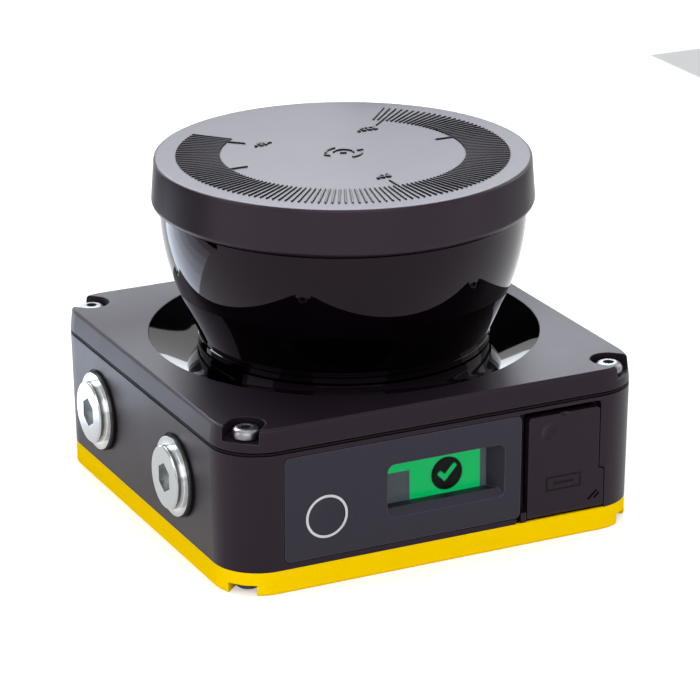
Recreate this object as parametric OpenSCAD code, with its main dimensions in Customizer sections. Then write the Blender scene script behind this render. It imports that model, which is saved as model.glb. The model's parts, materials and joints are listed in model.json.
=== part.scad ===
// Safety laser scanner: a square housing on a die-cast base, a bowl-shaped
// optics cover with a spinning mirror inside, and a cap with an angle scale.
// Millimetres. +Z up, the display faces -Y, the two blanking plugs face -X.
// The origin is on the underside of the base, at the middle of the body.

/* [Body] */
// Width of the body at its foot, left to right
body_w = 101; // [99:0.5:106]
// Depth of the body at its foot, front to back
body_d = 100; // [98:0.5:105]
// Radius of the upright corners of the body
corner_r = 10.7; // [10:0.1:12]
// Height of the base
base_h = 5.45; // [5.2:0.05:6.5]
// Thickness of the floor of the base
base_floor = 2.8; // [2.6:0.1:3.2]
// Height of the housing that stands on the base
housing_h = 27; // [27:0.5:30]
// How far each side of the housing leans out towards its top
lean = 0.5; // [0.2:0.1:0.8]
// Wall thickness of the base and the housing
wall = 2.6; // [2.4:0.1:3]
// Distance of the corner screws from the sides of the body
post_in = 6; // [5.8:0.1:6.6]
// Radius of the screw posts in the corners
post_r = 4; // [3.7:0.1:4.1]
// Height of the gasket between the housing and the cover frame
gasket_h = 1; // [0.8:0.1:1.4]
// Height of the cover frame
frame_h = 4.95; // [4.8:0.05:6]
// Height of the small chamfer round the top of the cover frame
frame_chamfer = 0.5; // [0.3:0.1:0.8]

/* [Corner screws] */
// Radius of the screw threads in the corners
screw_r = 1.5; // [1.4:0.1:1.6]
// Radius of the domed heads on the cover frame
dome_r = 3.1; // [2.8:0.1:3.3]
// Height of the domed heads
dome_h = 2.45; // [2.3:0.05:2.6]
// Radius of the round shoulder of the domed heads
dome_shoulder = 1.4; // [1.2:0.1:1.5]
// Radius of the six-lobe recess in the domed heads
lobe_r = 1.3; // [1.2:0.1:1.4]
// Radius of the pockets that the domed heads sit in
pocket_r = 4.2; // [4:0.1:4.4]
// Depth of the pockets that the domed heads sit in
pocket_depth = 3.1; // [3:0.1:3.4]
// Radius of the flat heads under the base
foot_head_r = 2.8; // [2.6:0.1:3]
// Half the width of the notches under the base
notch_r = 3.3; // [3.2:0.1:3.6]
// Height of the notches under the base
notch_h = 2.5; // [2.3:0.1:2.8]

/* [Mounting threads] */
// Distance between the mounting threads under the base
thread_pitch = 60; // [58:1:62]
// Wall radius of the mounting threads
thread_r = 2.1; // [2:0.05:2.3]
// Depth of the mounting threads
thread_depth = 7.5; // [7:0.5:8]
// Radius of the bosses round the mounting threads
boss_r = 4.6; // [4.2:0.1:5]

/* [Optics cover] */
// Place of the optical axis to the right of the body's middle
axis_x = 1; // [0:0.1:1.5]
// Place of the optical axis behind the body's middle
axis_y = 1.9; // [1:0.1:2.2]
// Distance of the dish's rim from the nearest side of the body
dish_margin = 3.2; // [3.1:0.1:4]
// Width of the dish, from its rim to the neck
dish_w = 11.8; // [11.4:0.1:12.3]
// How deep the dish is hollowed below a straight line from rim to neck
dish_sag = 0.3; // [0.2:0.1:0.8]
// Drop from the cover frame's top to the foot of the neck
neck_drop = 1.8; // [1.4:0.1:2]
// How far the bowl's top stays inside the dish's rim
bowl_in = 3.2; // [2.9:0.1:3.7]
// Radius of the arc that the bowl's side follows
bowl_arc_r = 51; // [49:0.5:56]
// Wall thickness of the optics cover
cover_t = 2; // [1.6:0.1:2.2]

/* [Top cap] */
// Overall height of the scanner
total_h = 80; // [80:0.5:86]
// Height of the cap
cap_h = 10.7; // [10:0.1:11.2]
// How far the cap's top edge stays inside the dish's rim
cap_in = 2.1; // [1.6:0.1:2.4]
// How much wider the cap is near its bottom
cap_flare = 0.7; // [0.3:0.1:1]
// Thickness of the top of the cap
cap_t = 2.2; // [2:0.1:2.5]
// Height of the dark gap under the cap
cap_gap = 0.6; // [0.5:0.1:1]
// Angle from one scale tick to the next
tick_step = 2.25; // [2.25,4.5,9]
// Distance of the outer ends of the ticks from the cap's edge
tick_margin = 4.9; // [4:0.1:6]
// Length of the short ticks
tick_l = 10.2; // [9:0.1:11.5]
// Length of the long ticks
long_tick_l = 14.4; // [13:0.1:16]
// Width of a tick
tick_w = 0.5; // [0.4:0.05:0.6]
// Depth of a tick
tick_depth = 0.25; // [0.15:0.05:0.4]

/* [Front panel] */
// Distance of the panel's left edge from the left side of the body
panel_in = 12.1; // [11.8:0.1:13]
// Lower edge of the panel
panel_z0 = 6.9; // [6.6:0.1:7.4]
// Upper edge of the panel
panel_z1 = 31.3; // [30.8:0.1:31.4]
// Thickness of the panel
panel_t = 1.5; // [1.3:0.1:1.7]
// Clearance of the panel and the flap in their pockets
panel_gap = 0.3; // [0.2:0.05:0.4]
// Distance of the display opening from the right edge of the panel
rim_in = 4; // [3.7:0.1:4.6]
// Width of the display opening as a share of the panel's width
rim_share = 0.5026; // [0.48:0.0001:0.52]
// Lower edge of the display opening
rim_z0 = 12.8; // [12.5:0.1:13.2]
// Upper edge of the display opening
rim_z1 = 25.4; // [25:0.1:25.8]
// Depth of the display opening
rim_depth = 3.9; // [3.6:0.1:4.1]
// Depth of the sloped side at the bottom of the opening
slope_depth = 1.4; // [1.2:0.1:1.8]
// Width of the sloped side at the right of the opening
slope_x = 2.6; // [2:0.1:3]
// Height of the sloped side at the bottom of the opening
slope_z = 1.85; // [1.5:0.05:2.2]

/* [Menu button] */
// Distance of the button's centre from the left edge of the panel
button_in = 10; // [9.6:0.1:10.4]
// Centre of the button above the ground
button_z = 16.25; // [15.5:0.05:17]
// Radius of the button
button_r = 4.3; // [4:0.1:4.4]
// Clearance between the button and the panel
button_clear = 0.08; // [0.05:0.01:0.1]
// How far the button travels
button_travel = 0.5; // [0.3:0.1:0.6]
// Depth of the finger dish in the button
button_dish = 0.5; // [0.3:0.1:0.6]

/* [Socket flap] */
// Distance of the flap's right edge from the right side of the body
flap_in = 11.6; // [11.4:0.1:12]
// Width of the flap
flap_w = 17.9; // [17.5:0.1:18.3]
// Gap between the panel and the flap
flap_gap = 1.9; // [1.8:0.1:2.2]
// How much further to the right the lower part of the flap reaches
flap_step_w = 1.4; // [1.2:0.1:1.6]
// Upper edge of the flap
flap_z1 = 30.2; // [29.9:0.1:30.4]
// Radius of the corners of the flap
flap_corner_r = 0.9; // [0.6:0.1:1.2]
// Height of the gap above the flap
flap_top_gap = 1.5; // [1.2:0.1:1.6]
// Radius of the thumb dimple in the flap
dimple_r = 2; // [1.7:0.1:2.4]
// Depth of the thumb dimple in the flap
dimple_depth = 0.5; // [0.3:0.05:0.6]
// Radius of the nail notch in the flap's upper edge
nail_r = 1.9; // [1.7:0.1:2.1]
// Height at which the flap steps out to its lower part
flap_step_z = 15.3; // [14.5:0.1:16]
// Thickness of the flap
flap_t = 1.5; // [1.4:0.1:1.6]
// Height of the flap's pivot above the base
pivot_up = 1.15; // [1.1:0.05:1.3]
// Radius of the pivot pins on the flap
pivot_r = 0.45; // [0.4:0.05:0.5]
// Clearance round the pivot pins
pivot_clear = 0.05; // [0.04:0.01:0.08]
// Depth of the bay behind the flap, from the front of the wall
bay_depth = 7.7; // [7.5:0.1:8]
// Distance of the service socket's centre from the flap's left edge
socket_in = 9; // [8:0.5:9.5]
// Centre of the service socket above the ground
socket_z = 19.5; // [18.5:0.5:21]

/* [Side plugs] */
// Half the distance between the two plugs
plug_half = 22.4; // [21.5:0.1:23]
// Height of the plugs and the rear connectors above the ground
plug_z = 19.1; // [18.8:0.1:19.8]
// Radius of a plug's head
plug_head_r = 7.25; // [7:0.05:7.6]
// Radius of a plug's flange
plug_flange_r = 9; // [8.6:0.1:9.1]
// Radius of the seal behind a plug
plug_seal_r = 9.35; // [9.2:0.05:9.7]
// Thickness of the seals behind the plugs and connectors
seal_t = 0.7; // [0.6:0.1:1]
// Width across the flats of the hexagon socket
plug_hex = 6; // [5:0.5:7]
// Thread radius of the plugs
plug_thread_r = 5.9; // [5.6:0.1:6]

/* [Rear connectors] */
// Outer thread radius of the power connector
power_r = 6; // [5.9:0.05:6.1]
// Inner thread radius of the network connector
network_r = 5.5; // [5.4:0.05:5.6]
// Thread radius of the connectors where they pass the wall
stub_r = 7; // [6.8:0.1:7.2]
// Length of the power connector outside its flange
power_l = 8.5; // [8:0.5:10]
// Length of the network connector outside its flange
network_l = 7.5; // [7:0.5:9]

/* [Boards and motor] */
// Thickness of the circuit boards
board_t = 1.6; // [1.4:0.1:1.8]
// Height of the main board above the ground
board_z = 10.3; // [10:0.1:10.8]
// Radius of the rotor shaft
shaft_r = 1.5; // [1.4:0.1:1.6]
// Running clearance of the shaft in its bearings
shaft_clear = 0.02; // [0.01:0.01:0.05]
// Outer radius of the shaft bearings
bearing_r = 4; // [3.8:0.1:4.2]
// Radius of the motor core as a share of the chassis radius
core_share = 0.463; // [0.45:0.001:0.47]
// Number of teeth on the motor core
core_teeth = 9; // [6,9,12]
// Gap between the core and the magnet ring
air_gap = 0.35; // [0.3:0.05:0.5]
// Thickness of the magnet ring
magnet_t = 0.75; // [0.6:0.05:0.9]
// Number of slots in the encoder disc
encoder_slots = 36; // [24,36,48]
// Radius of the mirror, seen along the optical axis
mirror_r = 9; // [8:0.5:9.5]
// Radius of the receiver lens
lens_r = 14.6; // [14:0.1:15]
// Radius of the laser tube
laser_r = 3; // [2.8:0.1:3.2]

/* [Hidden] */
$fn = 72;
eps = 0.01;
body_x = body_w / 2;
body_y = body_d / 2;
inner_x = body_x - wall;
inner_y = body_y - wall;
board_screw_in = [13.4, 27.9];
housing_top = base_h + housing_h;
frame_z = housing_top + gasket_h;
frame_top = frame_z + frame_h;
post_x = body_x - post_in;
post_y = body_y - post_in + 0.1;
screw_hole_r = screw_r + 0.15;
scale_from = -229.5;
scale_to = 49.5;
front_lean = lean / housing_h;

// radii and heights of the optics cover and the cap
dish_r = min(body_x - axis_x, body_y - axis_y) - dish_margin;
neck_r = dish_r - dish_w;
bowl_r = dish_r - bowl_in;
cap_r = dish_r - cap_in;
tick_out = cap_r - tick_margin;
tick_in = tick_out - tick_l;
long_in = tick_out - long_tick_l;
neck_z = frame_top - neck_drop;
cap_z = total_h - cap_h;
bowl_top = cap_z - cap_gap;
bowl_arc_x = bowl_r - bowl_arc_r;
collar_h = 2.8;
collar_z = neck_z + collar_h;
cone_share = 0.256;
cone_top = collar_z + cone_share * (bowl_top - collar_z);
cone_r = bowl_arc_x + sqrt(bowl_arc_r * bowl_arc_r - pow(bowl_top - cone_top, 2));
flange_t = 1.5;
flange_w = 2.5;
frame_plate = 2;
spigot_gap = 0.15;

// the flap, the panel and the display opening from right to left
flap_x1 = body_x - flap_in;
flap_x0 = flap_x1 - flap_w;
flap_x2 = flap_x1 + flap_step_w;
panel_x0 = -body_x + panel_in;
panel_x1 = flap_x0 - flap_gap;
rim_x1 = panel_x1 - rim_in;
rim_x0 = rim_x1 - rim_share * (panel_x1 - panel_x0);
button_x = panel_x0 + button_in;
socket_x = flap_x0 + socket_in;

// the bay behind the flap, and the flap's pivot
flap_pivot_z = base_h + pivot_up;
flap_pivot_y = -(body_y + front_lean * pivot_up) + flap_t / 2 + 0.02;
lug_top = flap_pivot_z + 1.25;
bay_wall = 1.3;
bay_floor_y = -body_y + bay_depth;
bay_x0 = flap_x0 - 0.2;
bay_x1 = flap_x1 - 0.3;
bay_z0 = flap_pivot_z + 2.05;
bay_z1 = flap_z1 + 0.5;
seat_y = -body_y + 1.8;

// the display, one layer behind the other
panel_back = -body_y + panel_t - 0.1;
window_y = -body_y - 0.2 + rim_depth;
window_t = 0.8;
glass_y = window_y + window_t;
glass_t = 1.5;
light_y = glass_y + glass_t;
display_board_y = -body_y + 12;
board_boss_x = button_x - 2.1;
board_boss_z = panel_z1 - 4.1;
bezel = 1.6;
pad_y = -body_y + wall + 1.4;
button_flange_t = 0.8;

// side plugs and rear connectors
plug_seat = -body_x - 0.1;
plug_flange_t = 0.8;
plug_head_t = 1.8;
plug_l = 6.5;
rear_seat = body_y + 0.1;
rear_board_y = body_y - 8.1;
insert_r = 4.5;

// the motor, from the top down
chassis_top = total_h - cap_t - 0.5;
plate_t = 2.8;
plate_z = chassis_top - plate_t;
chassis_gap = 2.6;
chassis_r = neck_r - cover_t - chassis_gap;
post_t = 3;
core_r = core_share * chassis_r;
chassis_z = base_h + 19.55;
tube_r = bearing_r + 0.9;
ribbon_w = 8;
ribbon_t = 0.3;
motor_board_t = 1.2;
motor_board_z = plate_z - motor_board_t;
motor_board_r = chassis_r - 7;
core_t = 3.4;
yoke_r = tube_r + 0.22 * (core_r - tube_r);
shoe_r = core_r - 0.2 * (core_r - tube_r);
tooth_w = 2;
coil_t = 0.8;
core_z = motor_board_z - 4.7;
bell_in = core_r + air_gap + magnet_t;
bell_r = bell_in + 1;
bell_z = core_z - 3;
bell_floor = 1.2;
bell_top = motor_board_z - 0.9;
encoder_r = bell_r + 4.1;
encoder_z = bell_top - 1.4;
tube_z = core_z - 1.3;
bearing_h = 2.5;
carrier_plate = 1.2;
mirror_z = bell_z - 11.1;
mirror_t = 1.2;
holder_r = lens_r + 1.6;
holder_flange = 2.8;
detector_z = board_z + board_t + 2.1;
holder_z = detector_z + board_t;
holder_top = mirror_z - mirror_r - 5.5;
lens_h = 4.5;
lens_z = holder_top - lens_h;
diode_h = 1.3;
tube_foot = holder_z + diode_h + 5.8;
hub_h = (lens_z - tube_foot) / 3.2;
hub_z = tube_foot + 0.8 * hub_h;
arm_x = post_x - 5.4;
arm_y = post_y - 8.5;
lug_r = 3.2;

// ---------------------------------------------------------------- shapes

// Flat outline with round corners
module rounded_outline(w, d, r) {
  square([w, d - 2 * r], center = true);
  square([w - 2 * r, d], center = true);
  for (x = [-1, 1], y = [-1, 1])
    translate([x * (w / 2 - r), y * (d / 2 - r)]) circle(r);
}

// Upright slab with round corners
module slab(w, d, r, h) {
  linear_extrude(h) rounded_outline(w, d, r);
}

// Slab whose four sides and corners lean out by the same amount on the way up
module leaning_slab(w, d, r, h, out) {
  rotate([90, 0, 0]) translate([0, 0, r - d / 2]) linear_extrude(d - 2 * r)
    polygon([[-w / 2, 0], [w / 2, 0], [w / 2 + out, h], [-w / 2 - out, h]]);
  rotate([90, 0, 90]) translate([0, 0, r - w / 2]) linear_extrude(w - 2 * r)
    polygon([[-d / 2, 0], [d / 2, 0], [d / 2 + out, h], [-d / 2 - out, h]]);
  for (x = [-1, 1], y = [-1, 1])
    translate([x * (w / 2 - r), y * (d / 2 - r), 0]) cylinder(h = h, r1 = r, r2 = r + out);
}

// Round-cornered block between two corners, seen from the front, from y0 back to y1
module front_block(x0, x1, z0, z1, r, y0, y1) {
  translate([(x0 + x1) / 2, y1, (z0 + z1) / 2]) rotate([90, 0, 0])
    linear_extrude(y1 - y0) rounded_outline(x1 - x0, z1 - z0, r);
}

// Cylinder that runs back along Y from y0 to y1
module rod_y(x, z, r, y0, y1, sides = $fn) {
  translate([x, y1, z]) rotate([90, 0, 0]) cylinder(h = y1 - y0, r = r, $fn = sides);
}

// Cylinder that runs to the right along X from x0 to x1
module rod_x(y, z, r, x0, x1, sides = $fn) {
  translate([x0, y, z]) rotate([0, 90, 0]) cylinder(h = x1 - x0, r = r, $fn = sides);
}

module ring(r_out, r_in, z0, z1) {
  translate([0, 0, z0]) difference() {
    cylinder(h = z1 - z0, r = r_out);
    translate([0, 0, -1]) cylinder(h = z1 - z0 + 2, r = r_in);
  }
}

module at_posts() {
  for (x = [-1, 1], y = [-1, 1]) translate([x * post_x, y * post_y, 0]) children();
}

// Copies at the four corners, each turned to point out of its corner
module at_posts_outward() {
  for (x = [-1, 1], y = [-1, 1])
    translate([x * post_x, y * post_y, 0]) rotate(atan2(y, x)) children();
}

module at_threads() {
  for (x = [-1, 1], y = [-1, 1])
    translate([x * thread_pitch / 2, y * thread_pitch / 2, 0]) children();
}

// The screws of the main board, beside the bosses of the mounting threads
module at_board_screws() {
  for (x = [-1, 1], y = [-1, 1])
    translate([x * (inner_x - board_screw_in.x), y * (inner_y - board_screw_in.y), 0]) children();
}

// The screws of the display board
module at_display_screws() {
  for (x = [board_boss_x, bay_x0 + 3]) translate([x, 0, board_boss_z]) children();
}

module at_arms() {
  for (x = [-1, 1], y = [-1, 1]) translate([x * arm_x, y * arm_y, 0]) children();
}

module on_axis() {
  translate([axis_x, axis_y, 0]) children();
}

// Six-lobe driver recess, pointing down from the origin
module six_lobe(r, depth) {
  translate([0, 0, -depth]) for (a = [0, 30]) rotate(a) cylinder(h = depth + 1, r = r, $fn = 6);
}

// Small machine screw with its head upwards and its seat at the origin
module small_screw(r, l, head_r, head_h) {
  difference() {
    union() {
      cylinder(h = head_h, r = head_r);
      translate([0, 0, -l]) cylinder(h = l, r = r);
    }
    translate([0, 0, head_h]) six_lobe(head_r * 0.55, head_h * 0.5);
  }
}

// ------------------------------------------------------------------ base

module base_plate() color("gold") difference() {
  union() {
    difference() {
      union() {
        leaning_slab(body_w - 0.8, body_d - 0.8, corner_r - 0.4, 0.4, 0.4);
        translate([0, 0, 0.4]) slab(body_w, body_d, corner_r, base_h - 0.4);
      }
      translate([0, 0, base_floor])
        slab(body_w - 2 * wall, body_d - 2 * wall, corner_r - wall, base_h);
    }
    at_posts() translate([0, 0, 1]) cylinder(h = base_h - 1, r = post_r);
    at_threads() translate([0, 0, 1]) cylinder(h = thread_depth + 0.8, r = boss_r);
    at_board_screws() translate([0, 0, 1]) cylinder(h = board_z - 1, r = 2.6);
  }
  at_posts_outward() {
    translate([0, 0, -1]) cylinder(h = notch_h + 1, r = notch_r);
    translate([0, -notch_r, -1]) cube([2 * post_in, 2 * notch_r, notch_h + 1]);
    cylinder(h = base_h + 1, r = screw_hole_r);
  }
  at_threads() translate([0, 0, -1]) cylinder(h = thread_depth + 1, r = thread_r);
  at_board_screws() translate([0, 0, board_z - 5]) cylinder(h = 6, r = 1.25);
  base_seal_space();
}

module base_seal_space() {
  translate([0, 0, base_h - 0.7]) difference() {
    slab(body_w - 1.4, body_d - 1.4, corner_r - 0.7, 1.4);
    translate([0, 0, -1]) slab(body_w - 3.4, body_d - 3.4, corner_r - 1.7, 4);
  }
}

module base_seal() color("dimgray") intersection() {
  base_seal_space();
  cube([2 * body_w, 2 * body_d, 2 * base_h], center = true);
}

module base_screws() color("#202022") at_posts() difference() {
  union() {
    translate([0, 0, notch_h - 1.2]) cylinder(h = 1.2, r = foot_head_r);
    translate([0, 0, notch_h - 1.7]) cylinder(h = 0.5, r1 = foot_head_r - 0.6, r2 = foot_head_r);
    translate([0, 0, notch_h]) cylinder(h = base_h + 6 - notch_h, r = screw_r);
  }
  translate([0, 0, -1]) cylinder(h = notch_h + 0.3, r = 1.4, $fn = 6);
}

// --------------------------------------------------------------- housing

module housing_outside() {
  translate([0, 0, base_h]) leaning_slab(body_w, body_d, corner_r, housing_h, lean);
}

module inner_space(z0, z1) {
  translate([0, 0, z0])
    slab(body_w - 2 * wall, body_d - 2 * wall, corner_r - wall, z1 - z0);
}

// Lug that carries an arm of the chassis, joined to its corner post
module chassis_lug(x, y) {
  lug_z = board_z + board_t + 2;
  lug_h = chassis_z - lug_z;
  translate([x * arm_x, y * arm_y, lug_z]) {
    cylinder(h = lug_h, r = lug_r);
    rotate(atan2(y * (post_y - arm_y), x * (post_x - arm_x)))
      translate([0, -1.5, 0]) cube([norm([post_x - arm_x, post_y - arm_y]), 3, lug_h]);
  }
}

module flap_pocket() {
  front_block(panel_x1 - 1, flap_x1 + panel_gap, base_h - 3, flap_z1 + flap_top_gap, 1, -body_y - 5,
    seat_y);
  front_block(panel_x1 + 1, flap_x2 + panel_gap, base_h - 3, flap_step_z + panel_gap, 1,
    -body_y - 5, seat_y);
  front_block(bay_x0, bay_x1, bay_z0, bay_z1, 1, -body_y - 5, bay_floor_y);
}

// Small lug at the foot of the gap between the panel and the flap
module pivot_lug() {
  intersection() {
    housing_outside();
    translate([panel_x1 + panel_gap, -body_y - 2, base_h])
      cube([flap_x0 - panel_x1 - 2 * panel_gap, 2 + seat_y + body_y + eps, lug_top - base_h]);
  }
}

module plug_bosses() {
  for (s = [-1, 1]) {
    rod_x(axis_y + s * plug_half, plug_z, plug_thread_r + 2.3, -body_x + wall - eps,
      plug_seat + 7.2);
  }
}

module housing() color("#3a353a") difference() {
  union() {
    difference() {
      union() {
        difference() {
          housing_outside();
          inner_space(base_h - 1, housing_top + 1);
        }
        at_posts() translate([0, 0, base_h]) cylinder(h = housing_h, r = post_r);
        for (x = [-1, 1], y = [-1, 1]) chassis_lug(x, y);
        // thicker wall behind the panel
        translate([panel_x0, -body_y + wall - eps, base_h + 2])
          cube([panel_x1 - panel_x0, pad_y + body_y - wall + eps, housing_h - 2]);
        // walls of the bay
        translate([bay_x0 - bay_wall, -body_y + wall - eps, bay_z0 - bay_wall])
          cube([bay_x1 - bay_x0 + 2 * bay_wall, bay_depth + bay_wall - wall, bay_z1 - bay_z0 + 2 * bay_wall]);
        plug_bosses();
        // bosses for the display board
        translate([board_boss_x, 0, board_boss_z]) rod_y(0, 0, 2, pad_y - eps, display_board_y);
        translate([bay_x0 + 3, 0, board_boss_z]) rod_y(0, 0, 2, bay_floor_y, display_board_y);
      }
      flap_pocket();
    }
    pivot_lug();
  }
  // pocket of the front panel
  front_block(panel_x0 - 0.2, panel_x1 + 0.2, panel_z0 - 0.2, panel_z1 + 0.2, 1.5,
    -body_y - 5, panel_back);
  // opening for the display
  front_block(rim_x0 - bezel - 0.3, rim_x1 + bezel + 0.3, rim_z0 - bezel - 0.3,
    rim_z1 + bezel + 0.3, 1.5, -body_y - 5, pad_y + 1);
  rod_y(button_x, button_z, button_r + 1.4, -body_y, pad_y + 1);
  // pivot holes of the flap
  rod_x(flap_pivot_y, flap_pivot_z, pivot_r + pivot_clear, flap_x0 - 1, flap_x0 + 1);
  rod_x(flap_pivot_y, flap_pivot_z, pivot_r + pivot_clear, flap_x2, flap_x2 + panel_gap + 0.75);
  // slot for the service socket
  front_block(socket_x - 4.05, socket_x + 4.05, socket_z - 2.15, socket_z + 2.15, 0.5,
    bay_floor_y - 1, bay_floor_y + bay_wall + 1);
  at_posts() {
    translate([0, 0, base_h - 1]) cylinder(h = 8, r = screw_r);
    translate([0, 0, housing_top - 9]) cylinder(h = 10, r = screw_r);
  }
  at_arms() translate([0, 0, chassis_z - 6]) cylinder(h = 7, r = 1.25);
  for (s = [-1, 1]) {
    y = axis_y + s * plug_half;
    rod_x(y, plug_z, plug_seal_r + 0.3, -body_x - 3, plug_seat);
    rod_x(y, plug_z, plug_thread_r, plug_seat - 1, plug_seat + 12);
    x = axis_x + s * plug_half;
    rod_y(x, plug_z, plug_seal_r + 0.3, rear_seat, rear_seat + 3);
    rod_y(x, plug_z, stub_r + 0.05, body_y - wall - 1, rear_seat + 1);
  }
  at_display_screws() rod_y(0, 0, 0.8, display_board_y - 2.6, display_board_y + 1);
}

// The gasket shows as one fine lip between two dark lines
module cover_gasket() color("#141416") difference() {
  union() {
    w = body_w + 2 * lean;
    d = body_d + 2 * lean;
    r = corner_r + lean;
    lip = gasket_h * 0.36;
    translate([0, 0, housing_top]) slab(w - 1.2, d - 1.2, r - 0.6, gasket_h);
    translate([0, 0, housing_top + (gasket_h - lip) / 2]) slab(w - 0.2, d - 0.2, r - 0.1, lip);
  }
  difference() {
    inner_space(housing_top - 1, frame_z + 1);
    at_posts() translate([0, 0, housing_top - 1]) cylinder(h = gasket_h + 2, r = post_r);
  }
  at_posts() translate([0, 0, housing_top - 1]) cylinder(h = gasket_h + 2, r = screw_hole_r);
}

// ----------------------------------------------------------- cover frame

module cover_frame() color("#3a353a") difference() {
  union() {
    w = body_w + 2 * lean;
    d = body_d + 2 * lean;
    r = corner_r + lean;
    body_part = frame_h - frame_chamfer;
    translate([0, 0, frame_z]) leaning_slab(w, d, r, body_part, -lean);
    translate([0, 0, frame_z + body_part])
      leaning_slab(w - 2 * lean, d - 2 * lean, r - lean, frame_chamfer, -frame_chamfer);
  }
  on_axis() {
    translate([0, 0, frame_z - 1]) cylinder(h = frame_h + 2, r = dish_r + 0.1);
    translate([0, 0, frame_z - 1])
      cylinder(h = 1 + frame_h - frame_plate, r = dish_r + flange_w + 0.2);
  }
  at_posts_outward() {
    translate([0, 0, frame_top - pocket_depth]) cylinder(h = pocket_depth + 1, r = pocket_r);
    translate([0, -pocket_r, frame_top - pocket_depth])
      cube([2 * post_in, 2 * pocket_r, pocket_depth + 1]);
    translate([0, 0, frame_z - 1]) cylinder(h = frame_h, r = screw_hole_r);
  }
}

module cover_screws() color("#b9bcc0") at_posts() translate([0, 0, frame_top - pocket_depth])
  difference() {
    rotate_extrude() {
      polygon(concat(
        [[0, 0], [dome_r - 0.4, 0], [dome_r, 0.4]],
        [for (a = [0 : 10 : 90])
          [dome_r - dome_shoulder * (1 - cos(a)), dome_h - dome_shoulder * (1 - sin(a))]],
        [[0, dome_h]]
      ));
      translate([0, -pocket_depth - 5.5]) square([screw_r, pocket_depth + 5.5 + 0.1]);
    }
    translate([0, 0, dome_h]) six_lobe(lobe_r, 1.5);
  }

// ---------------------------------------------------------- optics cover

module optics_cover() color("#0b0b0d") on_axis() rotate_extrude($fn = 120) {
  rim_z = frame_top - 0.1;
  flange_z = frame_z + frame_h - frame_plate;
  run = dish_r - neck_r;
  rise = rim_z - neck_z;
  chord = norm([run, rise]);
  dish_arc = chord * chord / (8 * dish_sag) + dish_sag / 2;
  // dish and clamping flange
  difference() {
    polygon([
      [neck_r - cover_t, flange_z - flange_t], [dish_r + flange_w, flange_z - flange_t],
      [dish_r + flange_w, flange_z], [dish_r, flange_z], [dish_r, rim_z],
      [neck_r - cover_t, rim_z]
    ]);
    translate([
      (dish_r + neck_r) / 2 - (dish_arc - dish_sag) * rise / chord,
      (rim_z + neck_z) / 2 + (dish_arc - dish_sag) * run / chord
    ]) circle(dish_arc, $fn = 200);
  }
  // neck with its collar, and the lower cone of the bowl
  polygon([
    [neck_r - cover_t, flange_z - flange_t], [neck_r, flange_z - flange_t], [neck_r, neck_z],
    [neck_r + 0.4, neck_z + 0.3], [neck_r + 0.4, neck_z + 1.5], [neck_r + 0.1, neck_z + 1.7],
    [neck_r + 0.1, neck_z + 2.1], [neck_r + 0.4, neck_z + 2.3], [neck_r + 0.4, neck_z + collar_h],
    [cone_r, cone_top], [cone_r - cover_t - 0.1, cone_top], [neck_r - cover_t + 0.3, neck_z + collar_h],
    [neck_r - cover_t, neck_z + collar_h - 1]
  ]);
  // upper part of the bowl
  difference() {
    intersection() {
      translate([bowl_arc_x, bowl_top]) circle(bowl_arc_r, $fn = 200);
      translate([0, cone_top]) square([2 * bowl_r, bowl_top - cone_top]);
    }
    translate([bowl_arc_x, bowl_top]) circle(bowl_arc_r - cover_t, $fn = 200);
    translate([-1, cone_top - 1]) square([bowl_r / 2, bowl_top - cone_top + 2]);
  }
  // spigot that centres the cap
  translate([bowl_r - cover_t, bowl_top - eps]) square([1, 3.2]);
}

module cap_seal() color("#0a0a0a") on_axis()
  ring(bowl_r - 0.5, bowl_r - cover_t + 1, bowl_top, cap_z);

// --------------------------------------------------------------- top cap

module tick(r_in) {
  translate([r_in, -tick_w / 2, total_h - tick_depth])
    cube([tick_out - r_in, tick_w, tick_depth + 1]);
}

module top_cap() color("#8d9298") on_axis() difference() {
  rotate_extrude($fn = 120) {
    edge_r = 0.6;
    foot_r = 1.2;
    wide_r = cap_r + cap_flare;
    skirt_in = bowl_r - cover_t + 1 + spigot_gap;
    under = total_h - cap_t;
    polygon(concat(
      [[0, under], [0, total_h]],
      [for (a = [90 : -18 : 0])
        [cap_r - edge_r + edge_r * cos(a), total_h - edge_r + edge_r * sin(a)]],
      [for (a = [0 : -15 : -90])
        [wide_r - foot_r + foot_r * cos(a), cap_z + foot_r + foot_r * sin(a)]],
      [[skirt_in, cap_z], [skirt_in, under], [chassis_r - 1, under], [chassis_r - 1, chassis_top],
        [chassis_r - 8, chassis_top], [chassis_r - 8, under]]
    ));
  }
  for (i = [ceil(scale_from / tick_step) : floor(scale_to / tick_step)]) {
    a = i * tick_step;
    plain = a % 45 != 0 || a == -135 || a == -45;
    rotate(a) tick(plain ? tick_in : long_in);
  }
  for (a = [30, 150, 270]) rotate(a) translate([chassis_r - 4.5, 0, chassis_top - 1])
    cylinder(h = 3, r = 1);
}

// ------------------------------------------------------------ front panel

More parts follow.
